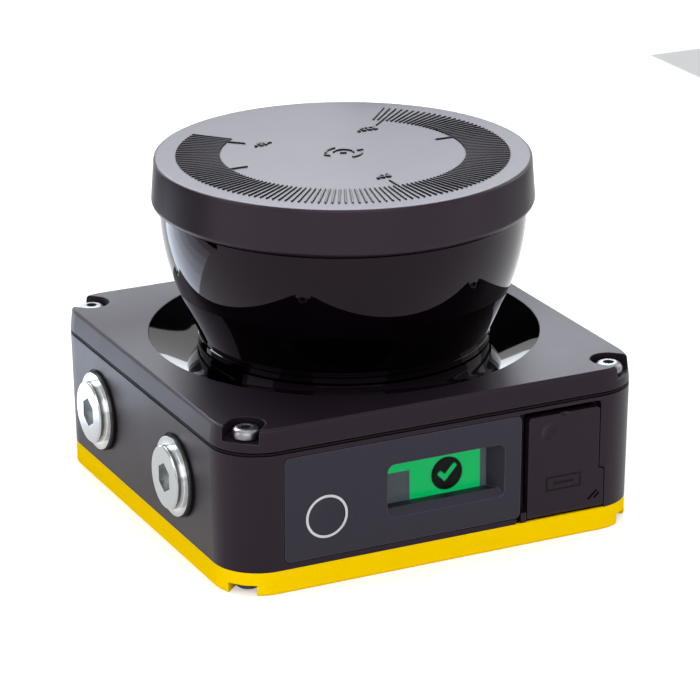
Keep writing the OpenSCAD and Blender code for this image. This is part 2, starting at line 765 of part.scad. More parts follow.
module front_panel() color("#48454b") difference() {
  union() {
    intersection() {
      translate([0, 0, base_h]) leaning_slab(body_w, body_d, corner_r, housing_h, lean);
      front_block(panel_x0, panel_x1, panel_z0, panel_z1, 1.3, -body_y - 3, panel_back);
    }
    front_block(rim_x0 - bezel, rim_x1 + bezel, rim_z0 - bezel, rim_z1 + bezel, 1.3,
      panel_back - 0.2, window_y);
  }
  intersection() {
    face = -body_y - 0.2;
    front_block(rim_x0, rim_x1, rim_z0, rim_z1, 1.8, -body_y - 5, window_y + 1);
    translate([0, 0, rim_z0 - 1]) linear_extrude(rim_z1 - rim_z0 + 2) polygon([
      [rim_x0, face - 3], [rim_x1, face - 3], [rim_x1, face], [rim_x1 - slope_x, window_y],
      [rim_x1 - slope_x, window_y + 1], [rim_x0, window_y + 1]
    ]);
    translate([rim_x0 - 1, 0, 0]) rotate([90, 0, 90]) linear_extrude(rim_x1 - rim_x0 + 2) polygon([
      [face - 3, rim_z0], [face, rim_z0], [face + slope_depth, rim_z0 + slope_z],
      [window_y + 1, rim_z0 + slope_z], [window_y + 1, rim_z1], [face - 3, rim_z1]
    ]);
  }
  rod_y(button_x, button_z, button_r + button_clear, -body_y - 3, panel_back + 1);
}

module display_window() color("#9fb4b8")
  front_block(rim_x0 - bezel, rim_x1 + bezel, rim_z0 - bezel, rim_z1 + bezel, 1.3,
    window_y, glass_y);

module display_glass() color("#21b86a")
  front_block(rim_x0 - 0.8, rim_x1 + 0.8, rim_z0 - 0.8, rim_z1 + 0.8, 0.5, glass_y, light_y);

module display_light_box() color("whitesmoke")
  front_block(rim_x0 - 0.4, rim_x1 + 0.4, rim_z0 - 0.6, rim_z1 + 0.6, 0.5,
    light_y, display_board_y);

module display_board() color("#1c6b3c") difference() {
  union() {
    translate([board_boss_x - 2.5, display_board_y, rim_z0 - 1.3])
      cube([socket_x + 4.2 - board_boss_x + 2.5, board_t, panel_z1 - rim_z0 - 0.5]);
    translate([rim_x0 + 4, display_board_y + board_t, rim_z0 + 4]) cube([6, 1, 6]);
    translate([rim_x1 - 9, display_board_y + board_t, rim_z0 + 6]) cube([4, 0.8, 4]);
  }
  at_display_screws() rod_y(0, 0, 1.1, display_board_y - 1, display_board_y + 3);
}

module display_screws() color("#c3c6c9")
  at_display_screws() translate([0, display_board_y + board_t, 0]) rotate([-90, 0, 0])
    small_screw(0.8, board_t + 2.2, 1.7, 1.1);

// -------------------------------------------------------- menu button

module menu_button() color("#4d4a50") difference() {
  union() {
    rod_y(button_x, button_z, button_r, -body_y - 0.05, panel_back + 0.3);
    rod_y(button_x, button_z, button_r + 0.9, panel_back + 0.1, panel_back + 0.1 + button_flange_t);
    rod_y(button_x, button_z, 1.9, panel_back, display_board_y - 4.3);
  }
  dish_ball = (button_r * button_r * 0.9 + button_dish * button_dish) / (2 * button_dish);
  translate([button_x, -body_y - 0.05 + button_dish - dish_ball, button_z])
    sphere(dish_ball, $fn = 96);
}

module switch_plunger() color("#e8e4da")
  rod_y(button_x, button_z, 1.2, display_board_y - 4.3, display_board_y - 1.75);

module button_switch() color("#26262a") difference() {
  front_block(button_x - 3, button_x + 3, button_z - 3, button_z + 3, 0.4,
    display_board_y - 3.5, display_board_y);
  rod_y(button_x, button_z, 1.25, display_board_y - 4, display_board_y - 0.9);
}

// --------------------------------------------------------- socket flap

// Outline of the flap above its pivot, seen from the front
module flap_outline() difference() {
  for (end = [[flap_x1, flap_z1], [flap_x2, flap_step_z]])
    translate([(flap_x0 + end.x) / 2, end.y / 2])
      rounded_outline(end.x - flap_x0, end.y, flap_corner_r);
  translate([flap_x0 - 1, -1]) square([2 * flap_w, flap_pivot_z + 1]);
}

module socket_flap() color("#4a474c") difference() {
  back_y = flap_pivot_y + flap_t / 2;
  dimple_z = flap_z1 - 4.2;
  dimple_ball = (dimple_r * dimple_r + dimple_depth * dimple_depth) / (2 * dimple_depth);
  dimple_y = -body_y - front_lean * (dimple_z - base_h) + dimple_depth - dimple_ball;
  union() {
    intersection() {
      housing_outside();
      translate([0, back_y, 0]) rotate([90, 0, 0]) linear_extrude(back_y + body_y + 3) flap_outline();
    }
    rod_x(flap_pivot_y, flap_pivot_z, flap_t / 2, flap_x0, flap_x2);
    rod_x(flap_pivot_y, flap_pivot_z, pivot_r, flap_x0 - 0.75, flap_x2 + panel_gap + 0.45);
    // sealing lip inside the bay
    difference() {
      lip = 1.2;
      front_block(bay_x0 + 0.8, bay_x1 - 0.8, bay_z0 + 1.2, bay_z1 - 1.6, 0.8, back_y - 0.2,
        back_y + lip);
      front_block(bay_x0 + 2, bay_x1 - 2, bay_z0 + 2.4, bay_z1 - 2.8, 0.8, back_y, back_y + 3);
    }
  }
  // nail notch at the top and thumb dimple
  translate([socket_x, -body_y - 1.5, flap_z1 + 0.7]) sphere(nail_r);
  translate([flap_x0 + 5.2, dimple_y, dimple_z]) sphere(dimple_ball);
}

module socket_shell() color("#c9ccd0") difference() {
  front_block(socket_x - 3.85, socket_x + 3.85, socket_z - 1.95, socket_z + 1.95, 0.4,
    bay_floor_y - 0.2, display_board_y);
  front_block(socket_x - 3.45, socket_x + 3.45, socket_z - 1.55, socket_z + 1.55, 0.3,
    bay_floor_y - 1, display_board_y - 0.6);
}

module socket_tongue() color("#17171a")
  front_block(socket_x - 2.5, socket_x + 2.5, socket_z - 0.4, socket_z + 0.5, 0,
    bay_floor_y + 0.3, display_board_y - 0.6);

// ---------------------------------------------------------- side plugs

module blanking_plug(y) {
  flange_x = plug_seat - seal_t;
  head_x = flange_x - plug_flange_t;
  difference() {
    union() {
      rod_x(y, plug_z, plug_flange_r, head_x, flange_x);
      rod_x(y, plug_z, plug_head_r, head_x - plug_head_t + 0.3, head_x);
      translate([head_x - plug_head_t, y, plug_z]) rotate([0, 90, 0])
        cylinder(h = 0.3, r1 = plug_head_r - 0.3, r2 = plug_head_r);
      rod_x(y, plug_z, plug_thread_r, flange_x, plug_seat + plug_l);
    }
    rod_x(y, plug_z, plug_hex / sqrt(3), head_x - plug_head_t - 1, head_x + 0.9, 6);
  }
}

module blanking_plugs() color("#d9dcdf") {
  for (s = [-1, 1]) blanking_plug(axis_y + s * plug_half);
}

module plug_seals() color("#131314") {
  for (s = [-1, 1]) difference() {
    rod_x(axis_y + s * plug_half, plug_z, plug_seal_r, plug_seat - seal_t, plug_seat);
    rod_x(axis_y + s * plug_half, plug_z, plug_thread_r, plug_seat - 3, plug_seat + 1);
  }
}

// ------------------------------------------------------ rear connectors

power_x = axis_x - plug_half;
network_x = axis_x + plug_half;
shell_y = rear_seat + seal_t;
flange_y = shell_y + 1.8;

module connector_shell(x, outer_r, inner_r, l) {
  difference() {
    union() {
      rod_y(x, plug_z, stub_r, rear_board_y + 1.6, shell_y);
      rod_y(x, plug_z, plug_flange_r, shell_y, flange_y);
      rod_y(x, plug_z, outer_r, flange_y, flange_y + l);
    }
    rod_y(x, plug_z, insert_r, rear_board_y - 1, flange_y + l + 1);
    rod_y(x, plug_z, inner_r, flange_y + 0.5, flange_y + l + 1);
  }
}

module power_connector() color("#b8bbbf") connector_shell(power_x, power_r, insert_r, power_l);

module network_connector() color("#b8bbbf")
  connector_shell(network_x, network_r + 1.9, network_r, network_l);

module pin_places(x, n, r) {
  for (i = [0 : n - 1]) translate([x + r * cos(i * 360 / n + 45), 0, plug_z + r * sin(i * 360 / n + 45)])
    children();
}

module power_insert() color("#1b1b1d") difference() {
  rod_y(power_x, plug_z, insert_r, rear_board_y + 1.6, flange_y + 0.5);
  pin_places(power_x, 8, 2.7) rod_y(0, 0, 0.45, rear_board_y, flange_y + 2);
}

module power_pins() color("goldenrod")
  pin_places(power_x, 8, 2.7) rod_y(0, 0, 0.45, rear_board_y, flange_y + power_l - 1.2, 24);

module network_insert() color("#1b1b1d") difference() {
  rod_y(network_x, plug_z, insert_r, rear_board_y + 1.6, flange_y + network_l - 0.5);
  pin_places(network_x, 4, 2) rod_y(0, 0, 0.55, flange_y, flange_y + network_l + 1);
  translate([network_x - 0.7, flange_y + 2, plug_z + insert_r - 0.9]) cube([1.4, network_l, 2]);
}

module connector_seals() color("#131314") {
  for (x = [power_x, network_x]) difference() {
    rod_y(x, plug_z, plug_flange_r + 0.3, rear_seat, shell_y);
    rod_y(x, plug_z, stub_r, rear_seat - 1, shell_y + 1);
  }
}

module connector_nuts() color("#b8bbbf") {
  for (x = [power_x, network_x]) difference() {
    rod_y(x, plug_z, stub_r + 2.7, body_y - wall - 3, body_y - wall, 6);
    rod_y(x, plug_z, stub_r, body_y - wall - 4, body_y);
  }
}

module connector_board() color("#1c6b3c") difference() {
  translate([power_x - 9, rear_board_y, board_z + board_t])
    cube([network_x - power_x + 18, 1.6, plug_z + 8 - board_z]);
  pin_places(power_x, 8, 2.7) rod_y(0, 0, 0.45, rear_board_y - 1, rear_board_y + 3, 24);
}

// --------------------------------------------------------------- boards

module chip(x, y, w, d, h) {
  translate([x - w / 2, y - d / 2, board_z + board_t - eps]) cube([w, d, h + eps]);
}

module main_board() color("#1c6b3c") difference() {
  board_x = inner_x - 8.9;
  board_y0 = display_board_y + board_t + 0.4;
  board_y1 = rear_board_y + board_t;
  union() {
    translate([-board_x, board_y0, board_z]) cube([2 * board_x, board_y1 - board_y0, board_t]);
    chip(-0.46 * board_x, board_y0 + 0.27 * body_y, 0.36 * board_x, 0.28 * body_y, 1.4);
    chip(0.46 * board_x, board_y0 + 0.25 * body_y, 0.26 * board_x, 0.2 * body_y, 1.2);
    chip(0.4 * board_x, 0.05 * body_y, 0.23 * board_x, 0.14 * body_y, 1.6);
    chip(-0.45 * board_x, 0.4 * body_y, 0.2 * board_x, 0.2 * body_y, 1.8);
    chip(axis_x, board_y1 - 0.36 * body_y, 0.26 * board_x, 0.1 * body_y, 3);
    chip(0, board_y0 + 2.2, 0.6 * board_x, 3.6, 2.5);
    for (x = [-0.3, -0.1, 0.3]) translate([x * board_x, board_y1 - 0.2 * body_y, board_z + board_t])
      cylinder(h = 5, r = 2.5);
  }
  at_board_screws() translate([0, 0, board_z - 1]) cylinder(h = board_t + 2, r = 1.6);
}

module board_screws() color("#c3c6c9")
  at_board_screws() translate([0, 0, board_z + board_t]) small_screw(1.25, board_t + 4, 2.5, 1.5);

// -------------------------------------------------------------- chassis

module post_sector(r_out, r_in, z0, z1) {
  intersection() {
    ring(r_out, r_in, z0, z1);
    translate([0, 0, z0]) linear_extrude(z1 - z0)
      polygon([[0, 0], [r_out * 1.3 * cos(60), r_out * 1.3 * sin(60)],
        [-r_out * 1.3 * cos(60), r_out * 1.3 * sin(60)]]);
  }
}

// Flat outline of the lower ring with its four arms
module arm_outline() {
  translate([axis_x, axis_y]) circle(chassis_r);
  for (x = [-1, 1], y = [-1, 1]) {
    dx = x * arm_x - axis_x;
    dy = y * arm_y - axis_y;
    translate([x * arm_x, y * arm_y]) circle(lug_r + 0.8);
    translate([axis_x, axis_y]) rotate(atan2(dy, dx)) translate([chassis_r - 4, -3.5])
      square([norm([dx, dy]) - chassis_r + 4, 7]);
  }
}

module chassis() color("#9a9da1") difference() {
  union() {
    translate([0, 0, chassis_z]) linear_extrude(post_t) arm_outline();
    on_axis() {
      translate([0, 0, plate_z]) cylinder(h = plate_t, r = chassis_r);
      post_sector(chassis_r - 0.3, chassis_r - post_t, chassis_z + 1, plate_z + 1);
      translate([0, 0, tube_z]) cylinder(h = plate_z - tube_z + 1, r = tube_r);
    }
  }
  on_axis() {
    translate([0, 0, chassis_z - 1]) cylinder(h = post_t + 2, r = holder_r + spigot_gap);
    translate([0, 0, tube_z - 1]) cylinder(h = chassis_top - tube_z + 2, r = bearing_r);
    translate([-ribbon_w / 2 - 0.5, chassis_r - post_t - 1.6, chassis_z - 1])
      cube([ribbon_w + 1, 1.6, post_t + 2]);
    for (a = [30, 150, 270]) rotate(a) translate([chassis_r - 4.5, 0, plate_z - 1])
      cylinder(h = plate_t + 2, r = 1.2);
  }
  at_arms() translate([0, 0, chassis_z - 1]) cylinder(h = post_t + 2, r = 1.6);
}

module chassis_screws() color("#c3c6c9")
  at_arms() translate([0, 0, chassis_z + post_t]) small_screw(1.25, post_t + 5, 2.6, 1.6);

module cap_screws() color("#c3c6c9") on_axis()
  for (a = [30, 150, 270]) rotate(a) translate([chassis_r - 4.5, 0, plate_z]) mirror([0, 0, 1])
    small_screw(1, plate_t + 1.6, 2, 1.3);

module motor_ribbon() color("#c9772b") on_axis() {
  ribbon_y = chassis_r - post_t - 1;
  strip_top = motor_board_z + 0.3;
  strip_z0 = board_z + board_t + 3;
  translate([-ribbon_w / 2, ribbon_y, strip_z0]) cube([ribbon_w, ribbon_t, strip_top - strip_z0]);
  translate([-ribbon_w / 2, motor_board_r - 1, motor_board_z - ribbon_t])
    cube([ribbon_w, ribbon_y - motor_board_r + 1 + ribbon_t, ribbon_t]);
  translate([-ribbon_w / 2, motor_board_r + 0.2, motor_board_z - ribbon_t])
    cube([ribbon_w, ribbon_y - motor_board_r, 2 * ribbon_t]);
}

// ------------------------------------------------------ receiver optics

module lens_holder() color("#2c2c2f") on_axis() difference() {
  union() {
    ring(holder_r, lens_r, holder_z, holder_top);
    ring(holder_r + holder_flange, holder_r - 0.5, chassis_z + post_t, chassis_z + post_t + 1.5);
    ring(lens_r + eps, lens_r - 1, holder_z, lens_z);
    for (a = [90, 210, 330]) rotate(a) translate([laser_r + 0.5, -0.6, hub_z])
      cube([lens_r - laser_r, 1.2, hub_h]);
    ring(laser_r + 1.2, laser_r, hub_z, hub_z + hub_h);
  }
  translate([0, 0, lens_z - 1]) ring(lens_r, lens_r - 2, 1, 20);
}

module receiver_lens() color("#a9c7d8") on_axis() difference() {
  lens_curve = 2.05 * lens_r;
  intersection() {
    translate([0, 0, lens_z + lens_h - lens_curve]) sphere(lens_curve, $fn = 160);
    translate([0, 0, lens_z]) cylinder(h = lens_h, r = lens_r);
  }
  translate([0, 0, lens_z - 1]) cylinder(h = lens_h + 2, r = laser_r);
}

module laser_tube() color("#c7b07a") on_axis() {
  translate([0, 0, tube_foot]) cylinder(h = holder_top + laser_r - tube_foot, r = laser_r);
  translate([0, 0, tube_foot - 1.2]) cylinder(h = 1.2, r = laser_r - 0.6);
}

module detector_board() color("#1c6b3c") on_axis()
  translate([-holder_r - 1, -holder_r - 1, detector_z])
    cube([2 * holder_r + 2, 2 * holder_r + 2, board_t]);

module photodiode() color("#30343a") on_axis()
  translate([-2.5, -2.5, holder_z]) cube([5, 5, diode_h]);

// ---------------------------------------------------------------- motor

module motor_board() color("#1c6b3c") on_axis()
  ring(motor_board_r, tube_r, motor_board_z, plate_z);

module encoder_sensor() color("#1d1d20") on_axis() rotate(-150) difference() {
  translate([bell_r + 1.7, -3, encoder_z - 2])
    cube([5, 6, motor_board_z - encoder_z + 2]);
  translate([bell_r, -4, encoder_z - 0.6]) cube([encoder_r - bell_r + 0.7, 8, 1.7]);
}

module motor_core() color("#8c8f94") on_axis() {
  ring(yoke_r, tube_r, core_z, core_z + core_t);
  for (i = [0 : core_teeth - 1]) rotate(i * 360 / core_teeth) {
    translate([yoke_r - 0.5, -tooth_w / 2, core_z]) cube([shoe_r - yoke_r + 1, tooth_w, core_t]);
    intersection() {
      ring(core_r, shoe_r, core_z, core_z + core_t);
      translate([0, 0, core_z]) linear_extrude(core_t)
        polygon([[0, 0], [core_r * 1.2, -core_r * 1.2 * tan(150 / core_teeth)],
          [core_r * 1.2, core_r * 1.2 * tan(150 / core_teeth)]]);
    }
  }
}

module motor_coils() color("#b5622a") on_axis() {
  for (i = [0 : core_teeth - 1]) rotate(i * 360 / core_teeth) difference() {
    translate([yoke_r + 0.3, -tooth_w / 2 - coil_t, core_z - coil_t])
      cube([shoe_r - yoke_r - 0.6, tooth_w + 2 * coil_t, core_t + 2 * coil_t]);
    translate([tube_r, -tooth_w / 2, core_z]) cube([core_r, tooth_w, core_t]);
  }
}

module shaft_bearings() color("#c3c6c9") on_axis() {
  for (z = [tube_z + 0.3, chassis_top - plate_t - 0.2 - bearing_h])
    ring(bearing_r, shaft_r + shaft_clear, z, z + bearing_h);
}

module rotor_shaft() color("#b4b7bb") on_axis()
  translate([0, 0, mirror_z + 4]) cylinder(h = plate_z + 1.8 - mirror_z - 4, r = shaft_r);

module shaft_clip() color("#77797d") on_axis()
  ring(shaft_r + 1.2, shaft_r, plate_z + 0.1, plate_z + 0.7);

module rotor_bell() color("#a2a5a9") on_axis() {
  ring(bell_r, shaft_r, bell_z, bell_z + bell_floor);
  ring(bell_r, bell_in, bell_z, bell_top);
  ring(shaft_r + 1.4, shaft_r, bell_z, tube_z - 0.2);
}

module magnet_ring() color("#3b3b3f") on_axis()
  ring(bell_in, bell_in - magnet_t, bell_z + bell_floor + 1, bell_top - 0.3);

module encoder_disc() color("#d4d7da") on_axis() difference() {
  ring(encoder_r, bell_r, encoder_z, encoder_z + 0.5);
  for (i = [0 : encoder_slots - 1]) rotate(i * 360 / encoder_slots)
    translate([encoder_r - 2.4, -0.6, encoder_z - 1]) cube([1.8, 1.2, 3]);
}

// ----------------------------------------------------------------- mirror

// Everything below the slanted plane through mirror_z, raised by lift
module below_slant(lift) {
  far = chassis_r;
  rotate([90, 0, 90]) translate([0, mirror_z + lift, -far]) linear_extrude(2 * far)
    polygon([[-far, far], [far, -far], [far, -2 * far], [-far, -2 * far]]);
}

module mirror_carrier() color("#2c2c2f") on_axis() difference() {
  union() {
    translate([0, 0, mirror_z - mirror_r - 0.6])
      cylinder(h = bell_z - mirror_z + mirror_r + 0.6, r = mirror_r + 0.6);
    translate([0, 0, bell_z - carrier_plate]) cylinder(h = carrier_plate, r = mirror_r + 3.5);
  }
  below_slant(mirror_t * sqrt(2));
  translate([0, 0, mirror_z]) cylinder(h = bell_z - mirror_z + 1, r = shaft_r);
}

module scan_mirror() color("#dfe6ea") on_axis() difference() {
  intersection() {
    translate([0, 0, mirror_z - 2 * mirror_r])
      cylinder(h = bell_z - carrier_plate - mirror_z + 2 * mirror_r, r = mirror_r);
    below_slant(mirror_t * sqrt(2));
  }
  below_slant(0);
}

base_plate();
base_seal();
base_screws();
housing();
cover_gasket();
cover_frame();
cover_screws();
optics_cover();
cap_seal();
top_cap();
cap_screws();
front_panel();
display_window();
display_glass();
display_light_box();
display_board();
display_screws();
menu_button();
switch_plunger();
button_switch();
socket_flap();
socket_shell();
socket_tongue();
blanking_plugs();
plug_seals();
power_connector();
power_insert();
power_pins();
network_connector();
network_insert();
connector_seals();
connector_nuts();
connector_board();
main_board();
board_screws();
chassis();
chassis_screws();
lens_holder();
receiver_lens();
laser_tube();
detector_board();
photodiode();
motor_board();
encoder_sensor();
motor_core();
motor_coils();
shaft_bearings();
rotor_shaft();
shaft_clip();
rotor_bell();
magnet_ring();
encoder_disc();
mirror_carrier();
scan_mirror();
motor_ribbon();
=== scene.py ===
import math
import bpy
import bmesh
from mathutils import Matrix, Vector
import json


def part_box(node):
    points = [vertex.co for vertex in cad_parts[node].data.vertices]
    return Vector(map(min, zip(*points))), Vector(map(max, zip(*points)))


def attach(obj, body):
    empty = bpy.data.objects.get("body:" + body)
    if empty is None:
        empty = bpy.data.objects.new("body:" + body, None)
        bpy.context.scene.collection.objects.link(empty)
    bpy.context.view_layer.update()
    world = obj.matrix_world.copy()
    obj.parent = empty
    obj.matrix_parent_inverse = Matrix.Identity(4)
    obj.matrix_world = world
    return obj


# Looks of the safety laser scanner: materials, printed and raised details, camera and light.
# Sizes and places on the object and of the camera are in mm. Those in the materials and of
# floor, cards and lamps are in metres.
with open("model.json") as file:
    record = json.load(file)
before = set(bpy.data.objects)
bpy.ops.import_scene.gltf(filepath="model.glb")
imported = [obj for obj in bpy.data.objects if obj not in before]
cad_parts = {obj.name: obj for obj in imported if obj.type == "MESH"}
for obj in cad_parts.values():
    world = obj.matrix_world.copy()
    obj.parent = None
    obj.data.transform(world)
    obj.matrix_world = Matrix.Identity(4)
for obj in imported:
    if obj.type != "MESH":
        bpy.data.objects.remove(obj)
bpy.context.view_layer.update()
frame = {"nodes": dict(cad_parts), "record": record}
MM = 0.001
ROOT = "scanner"


# ------------------------------------------------------------- materials

GRAIN_LOW, GRAIN_HIGH = 0.35, 0.65      # stretch of the fine noise that changes the colour,
BLOTCH_LOW, BLOTCH_HIGH = 0.3, 0.7      # of the soft noise that changes colour and gloss
EDGE_FLAT, EDGE_SHARP = 0.995, 0.85     # cosine between the rounded and the true normal
HOLLOW_DEEP, HOLLOW_OPEN = 0.35, 0.85   # share of rays that leave the surface freely
UNLIT = 0.2                             # body colour of a glowing surface against its light


def srgb(r, g, b):
    def lin(c):
        c = c / 255
        return c / 12.92 if c <= 0.04045 else ((c + 0.055) / 1.055) ** 2.4
    return (lin(r), lin(g), lin(b), 1.0)


def node(nt, kind, **values):
    """New shader node. A value is a setting of the node, or else one of its inputs."""
    n = nt.nodes.new(kind)
    for key, value in values.items():
        if hasattr(n, key):
            setattr(n, key, value)
        else:
            n.inputs[key.replace("_", " ")].default_value = value
    return n


def remap(nt, value, from_min, from_max, to_min, to_max):
    """The value, moved from one range to another and held inside it."""
    n = node(nt, "ShaderNodeMapRange", From_Min=from_min, From_Max=from_max, To_Min=to_min,
             To_Max=to_max)
    nt.links.new(value, n.inputs["Value"])
    return n.outputs["Result"]


def scaled(nt, colour, factor):
    """The colour times the factor."""
    n = node(nt, "ShaderNodeVectorMath", operation="SCALE")
    nt.links.new(colour, n.inputs[0])
    nt.links.new(factor, n.inputs["Scale"])
    return n.outputs["Vector"]


def material(name, colour, rough, metallic=0.0, var=0.08, grain=900, rough_var=0.06,
             bump=0.15, bump_grain=2500, depth=0.00002, ior=1.5, stretch=(1, 1, 1),
             blotch=60, blotch_var=0.05, specular=0.5, edge=0.0, edge_highlight=0.0, shade_in=0.0,
             shade_min=0.03, sheen_tint=(1, 1, 1, 1)):
    """Procedural surface: fine grain and soft blotches in the colour, the gloss and the bump.
    edge is the radius of the soft edges in metres, wear how much lighter their colour is
    painted along them, a painted highlight.
    shade_in is how far in metres a recess is looked for, and shade_min what its colour is
    multiplied by: below 1 for painted shade in the recess, above 1 for painted light in it."""
    m = bpy.data.materials.new(name)
    m.use_nodes = True
    nt = m.node_tree
    p = nt.nodes["Principled BSDF"]
    p.inputs["Metallic"].default_value = metallic
    p.inputs["IOR"].default_value = ior
    p.inputs["Specular IOR Level"].default_value = specular
    p.inputs["Specular Tint"].default_value = sheen_tint
    where = node(nt, "ShaderNodeTexCoord")
    spread = node(nt, "ShaderNodeMapping", Scale=stretch)
    nt.links.new(where.outputs["Object"], spread.inputs["Vector"])
    fine = node(nt, "ShaderNodeTexNoise", Scale=grain, Detail=3.0, Roughness=0.6)
    soft = node(nt, "ShaderNodeTexNoise", Scale=blotch, Detail=2.0, Roughness=0.5)
    tiny = node(nt, "ShaderNodeTexNoise", Scale=bump_grain, Detail=2.0, Roughness=0.55)
    for tex in (fine, soft, tiny):
        nt.links.new(spread.outputs["Vector"], tex.inputs["Vector"])

    ramp = node(nt, "ShaderNodeValToRGB")
    low, high = ramp.color_ramp.elements
    low.position, high.position = GRAIN_LOW, GRAIN_HIGH
    low.color = tuple(c * (1 - var) for c in colour[:3]) + (1,)
    high.color = tuple(min(1, c * (1 + var)) for c in colour[:3]) + (1,)
    nt.links.new(fine.outputs["Fac"], ramp.inputs["Fac"])
    shade = remap(nt, soft.outputs["Fac"], BLOTCH_LOW, BLOTCH_HIGH, 1 - blotch_var,
                  1 + blotch_var)
    tint = scaled(nt, ramp.outputs["Color"], shade)
    if edge:
        soft_edge = node(nt, "ShaderNodeBevel", samples=4, Radius=edge)
    # painted highlight: colour lighter along the rounded edges, by wear and the fine noise
    if edge_highlight:
        flat = node(nt, "ShaderNodeNewGeometry")
        same = node(nt, "ShaderNodeVectorMath", operation="DOT_PRODUCT")
        nt.links.new(soft_edge.outputs["Normal"], same.inputs[0])
        nt.links.new(flat.outputs["Normal"], same.inputs[1])
        highlight_share = remap(nt, same.outputs["Value"], EDGE_FLAT, EDGE_SHARP, 0.0, edge_highlight)
        lift = node(nt, "ShaderNodeMath", operation="MULTIPLY_ADD")
        nt.links.new(highlight_share, lift.inputs[0])
        nt.links.new(fine.outputs["Fac"], lift.inputs[1])
        lift.inputs[2].default_value = 1.0
        tint = scaled(nt, tint, lift.outputs["Value"])
    # painted shade: colour darker in recesses by how closed they are; with shade_min above 1,
    # painted light there instead
    if shade_in:
        hollow = node(nt, "ShaderNodeAmbientOcclusion", samples=8, only_local=True,
                      Distance=shade_in)
        deep = remap(nt, hollow.outputs["AO"], HOLLOW_DEEP, HOLLOW_OPEN, shade_min, 1.0)
        tint = scaled(nt, tint, deep)
    nt.links.new(tint, p.inputs["Base Color"])

    gloss = remap(nt, soft.outputs["Fac"], BLOTCH_LOW, BLOTCH_HIGH,
                  max(0.01, rough - rough_var), min(1, rough + rough_var))
    nt.links.new(gloss, p.inputs["Roughness"])
    if bump:
        b = node(nt, "ShaderNodeBump", Strength=bump, Distance=depth)
        nt.links.new(tiny.outputs["Fac"], b.inputs["Height"])
        if edge:
            nt.links.new(soft_edge.outputs["Normal"], b.inputs["Normal"])
        nt.links.new(b.outputs["Normal"], p.inputs["Normal"])
    return m


def glowing(name, colour, strength):
    """Part of the lit display: a dim body colour with its own light."""
    base = tuple(c * UNLIT for c in colour[:3]) + (1,)
    m = material(name, base, 0.3, var=0.03, grain=1500, bump=0.0, specular=0.1)
    p = m.node_tree.nodes["Principled BSDF"]
    p.inputs["Emission Color"].default_value = colour
    p.inputs["Emission Strength"].default_value = strength
    return m


def clear(name, colour, rough=0.02, ior=1.46):
    """Material that light passes through."""
    m = material(name, colour, rough, var=0.01, rough_var=0.01, bump=0.02, depth=0.000005,
                 ior=ior, specular=0.08)
    m.node_tree.nodes["Principled BSDF"].inputs["Transmission Weight"].default_value = 1.0
    return m


PURPLE_SHEEN = (1.0, 0.76, 0.94, 1)
BLUE_SHEEN = (0.92, 0.84, 1.0, 1)
